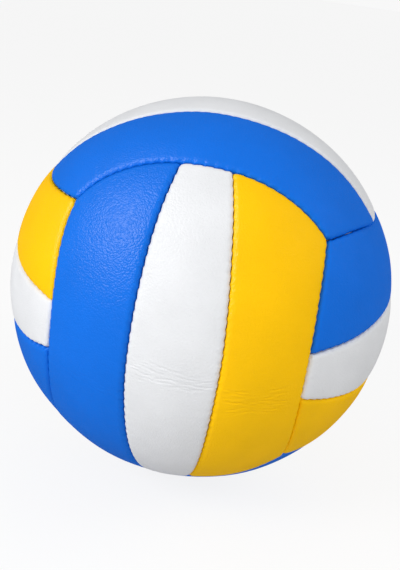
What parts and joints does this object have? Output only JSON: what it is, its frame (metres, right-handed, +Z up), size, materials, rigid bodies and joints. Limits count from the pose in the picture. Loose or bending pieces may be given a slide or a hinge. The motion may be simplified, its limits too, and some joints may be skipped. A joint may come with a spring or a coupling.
{
  "type": "volleyball",
  "caption": "Volleyball of padded leather strips in groups set at right angles to each other, sewn edge to edge over an air bladder that fills through a needle valve.",
  "frame": {"origin": "centre of the ball", "axes": "+Z up through the top group, -Y out through the front group, +Y out along the valve"},
  "size_m": [0.21, 0.2099, 0.21],
  "materials": {
    "blue_leather": "grained satin",
    "white_leather": "grained satin",
    "yellow_leather": "grained satin",
    "foam": "closed-cell foam",
    "lining_cloth": "plain weave",
    "bladder_rubber": "matt",
    "valve_rubber": "satin",
    "thread": "twisted polyester"
  },
  "bodies": {
    "root": {"front_blue_panel": "blue_leather", "front_white_panel": "white_leather", "front_yellow_panel": "yellow_leather", "back_blue_panel": "blue_leather", "back_white_panel": "white_leather", "back_yellow_panel": "yellow_leather", "right_blue_panel": "blue_leather", "right_white_panel": "white_leather", "right_yellow_panel": "yellow_leather", "left_blue_panel": "blue_leather", "left_white_panel": "white_leather", "left_yellow_panel": "yellow_leather", "top_blue_panel": "blue_leather", "top_white_panel": "white_leather", "top_yellow_panel": "yellow_leather", "bottom_blue_panel": "blue_leather", "bottom_white_panel": "white_leather", "bottom_yellow_panel": "yellow_leather", "front_blue_foam": "foam", "front_white_foam": "foam", "front_yellow_foam": "foam", "back_blue_foam": "foam", "back_white_foam": "foam", "back_yellow_foam": "foam", "right_blue_foam": "foam", "right_white_foam": "foam", "right_yellow_foam": "foam", "left_blue_foam": "foam", "left_white_foam": "foam", "left_yellow_foam": "foam", "top_blue_foam": "foam", "top_white_foam": "foam", "top_yellow_foam": "foam", "bottom_blue_foam": "foam", "bottom_white_foam": "foam", "bottom_yellow_foam": "foam", "front_blue_lining": "lining_cloth", "front_white_lining": "lining_cloth", "front_yellow_lining": "lining_cloth", "back_blue_lining": "lining_cloth", "back_white_lining": "lining_cloth", "back_yellow_lining": "lining_cloth", "right_blue_lining": "lining_cloth", "right_white_lining": "lining_cloth", "right_yellow_lining": "lining_cloth", "left_blue_lining": "lining_cloth", "left_white_lining": "lining_cloth", "left_yellow_lining": "lining_cloth", "top_blue_lining": "lining_cloth", "top_white_lining": "lining_cloth", "top_yellow_lining": "lining_cloth", "bottom_blue_lining": "lining_cloth", "bottom_white_lining": "lining_cloth", "bottom_yellow_lining": "lining_cloth", "strip_seam_thread": "thread", "border_seam_thread": "thread", "bladder": "bladder_rubber", "valve_stem": "valve_rubber", "valve_core": "valve_rubber"}
  },
  "joints": []
}
